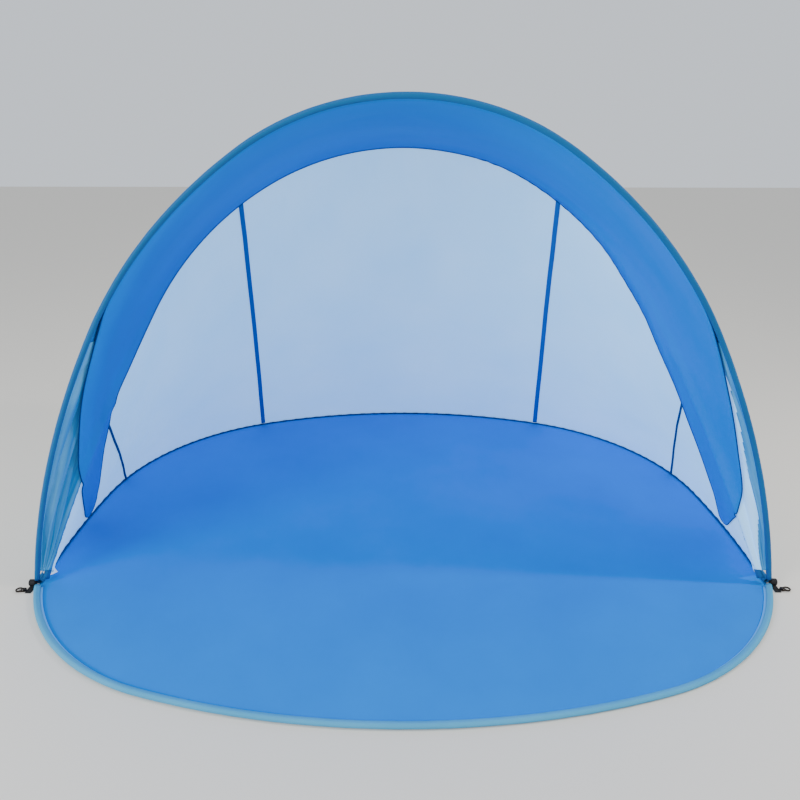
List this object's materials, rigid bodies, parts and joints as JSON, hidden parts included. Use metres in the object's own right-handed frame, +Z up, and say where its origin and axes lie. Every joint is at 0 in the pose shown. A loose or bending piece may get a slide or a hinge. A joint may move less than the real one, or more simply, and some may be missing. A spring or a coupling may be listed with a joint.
{
  "type": "pop-up beach shelter",
  "caption": "Open-fronted pop-up beach shelter: hinged arches carry a cloth canopy over a half-round floor whose front flap folds up.",
  "frame": {"origin": "on the ground, midway between the two front corners where the arches meet the floor", "axes": "+X to the right seen from the front, +Y towards the rear wall, +Z up"},
  "size_m": [2.0946, 1.703, 1.2334],
  "materials": {
    "sprung_steel": "satin",
    "blackened_steel": "satin",
    "black_webbing": "matte",
    "label_cloth": "matte",
    "floor_cloth": "matte",
    "sleeve_cloth": "satin",
    "silvered_wall_cloth": "satin",
    "gusset_cloth": "satin",
    "roof_cloth": "satin",
    "band_cloth": "matte",
    "seam_tape": "matte"
  },
  "bodies": {
    "ground": {"rear_floor_sheet": "floor_cloth", "rear_floor_sleeve": "sleeve_cloth", "rear_floor_rod": "sprung_steel", "rear_floor_ferrule": "sprung_steel", "back_wall": "silvered_wall_cloth", "rear_left_wall": "silvered_wall_cloth", "rear_right_wall": "silvered_wall_cloth", "side_left_wall": "silvered_wall_cloth", "side_right_wall": "silvered_wall_cloth", "roof_panel": "roof_cloth", "left_gusset": "gusset_cloth", "right_gusset": "gusset_cloth", "roof_band": "band_cloth", "left_band_tail": "band_cloth", "right_band_tail": "band_cloth", "long_seam_tape_left": "seam_tape", "long_seam_tape_right": "seam_tape", "short_seam_tape_left": "seam_tape", "short_seam_tape_right": "seam_tape", "care_label": "label_cloth", "corner_tab_left": "black_webbing", "corner_tab_right": "black_webbing", "rear_tab_left": "black_webbing", "rear_tab_right": "black_webbing"},
    "front_flap": {"front_floor_sheet": "floor_cloth", "front_floor_sleeve": "sleeve_cloth", "front_floor_rod": "sprung_steel", "front_floor_ferrule": "sprung_steel", "front_hem_tape": "sleeve_cloth"},
    "mouth_arch": {"mouth_arch_sleeve": "sleeve_cloth", "mouth_arch_rod": "sprung_steel", "mouth_arch_ferrule": "sprung_steel"},
    "rear_arch": {"rear_arch_sleeve": "sleeve_cloth", "rear_arch_rod": "sprung_steel", "rear_arch_ferrule": "sprung_steel"},
    "corner_ring_left": {"corner_peg_ring_left": "blackened_steel"},
    "corner_ring_right": {"corner_peg_ring_right": "blackened_steel"},
    "rear_ring_left": {"rear_peg_ring_left": "blackened_steel"},
    "rear_ring_right": {"rear_peg_ring_right": "blackened_steel"}
  },
  "joints": [
    {"name": "front_flap_fold", "type": "hinge", "parent": "ground", "child": "front_flap", "pos_m": [0, -0.008, 0], "axis": [-1, 0, 0], "range_deg": [0, 70]},
    {"name": "mouth_arch_fold", "type": "hinge", "parent": "ground", "child": "mouth_arch", "pos_m": [0, 0, 0.01], "axis": [-1, 0, 0], "range_deg": [0, 93.7], "stiffness_Nm_per_rad": 2, "springref_deg": -57.3, "deforming": ["back_wall", "rear_left_wall", "rear_right_wall", "side_left_wall", "side_right_wall", "roof_panel", "left_gusset", "right_gusset", "roof_band", "left_band_tail", "right_band_tail", "long_seam_tape_left", "long_seam_tape_right", "short_seam_tape_left", "short_seam_tape_right", "care_label"]},
    {"name": "rear_arch_fold", "type": "hinge", "parent": "ground", "child": "rear_arch", "pos_m": [0, 0, 0.01], "axis": [-1, 0, 0], "range_deg": [0, 69.2]},
    {"name": "corner_ring_left_swing", "type": "hinge", "parent": "ground", "child": "corner_ring_left", "pos_m": [-1.02305, -0.024, 0.00405], "axis": [0, 1, 0], "range_deg": [0, 90]},
    {"name": "corner_ring_right_swing", "type": "hinge", "parent": "ground", "child": "corner_ring_right", "pos_m": [1.02305, -0.024, 0.00405], "axis": [0, -1, 0], "range_deg": [0, 90]},
    {"name": "rear_ring_left_swing", "type": "hinge", "parent": "ground", "child": "rear_ring_left", "pos_m": [-0.58785, 1.11083, 0.00405], "axis": [0.9183, 0.3959, 0], "range_deg": [0, 90]},
    {"name": "rear_ring_right_swing", "type": "hinge", "parent": "ground", "child": "rear_ring_right", "pos_m": [0.58785, 1.11083, 0.00405], "axis": [0.9183, -0.3959, 0], "range_deg": [0, 90]}
  ],
  "couplings": [
    {"joint": "rear_arch_fold", "follows": "mouth_arch_fold", "ratio": 0.7375}
  ]
}
